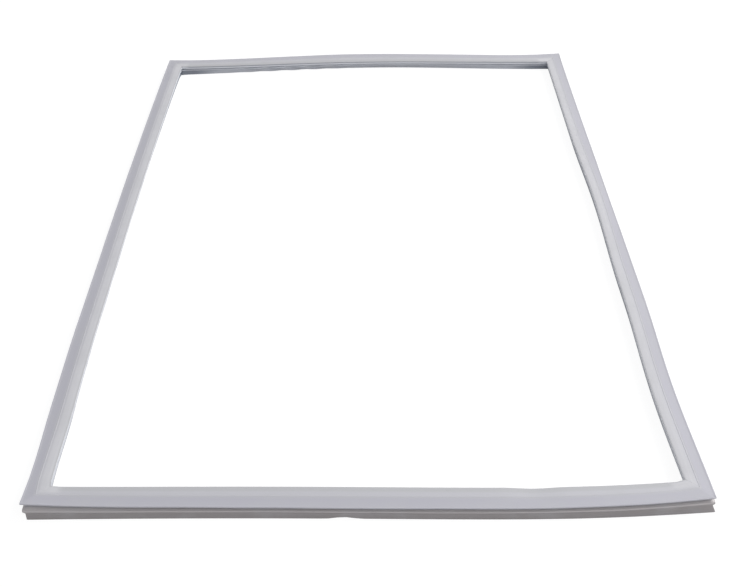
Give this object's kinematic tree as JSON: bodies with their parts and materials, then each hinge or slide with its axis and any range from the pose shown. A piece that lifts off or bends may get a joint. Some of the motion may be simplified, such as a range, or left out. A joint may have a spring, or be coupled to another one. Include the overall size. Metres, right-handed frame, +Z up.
{
  "type": "refrigerator door gasket",
  "caption": "Rectangular magnetic door gasket: a hollow PVC frame with sealing lip, pleated bellows and push-in dart, mitred at its corners and loaded with flexible magnet strips.",
  "frame": {"origin": "on the surface that the skirts lie on, under the middle of the frame's box", "axes": "+X along the short rails, +Y along the long rails, +Z up out of the sealing face"},
  "size_m": [0.6184, 0.9352, 0.021],
  "materials": {
    "gasket_pvc": "soft PVC, pale cool grey, satin",
    "magnet_rubber": "flexible ferrite magnet strip, dark brown-black, matte"
  },
  "bodies": {
    "root": {"gasket_frame": "gasket_pvc", "magnet_strip_near": "magnet_rubber", "magnet_strip_right": "magnet_rubber", "magnet_strip_far": "magnet_rubber", "magnet_strip_left": "magnet_rubber"}
  },
  "joints": []
}
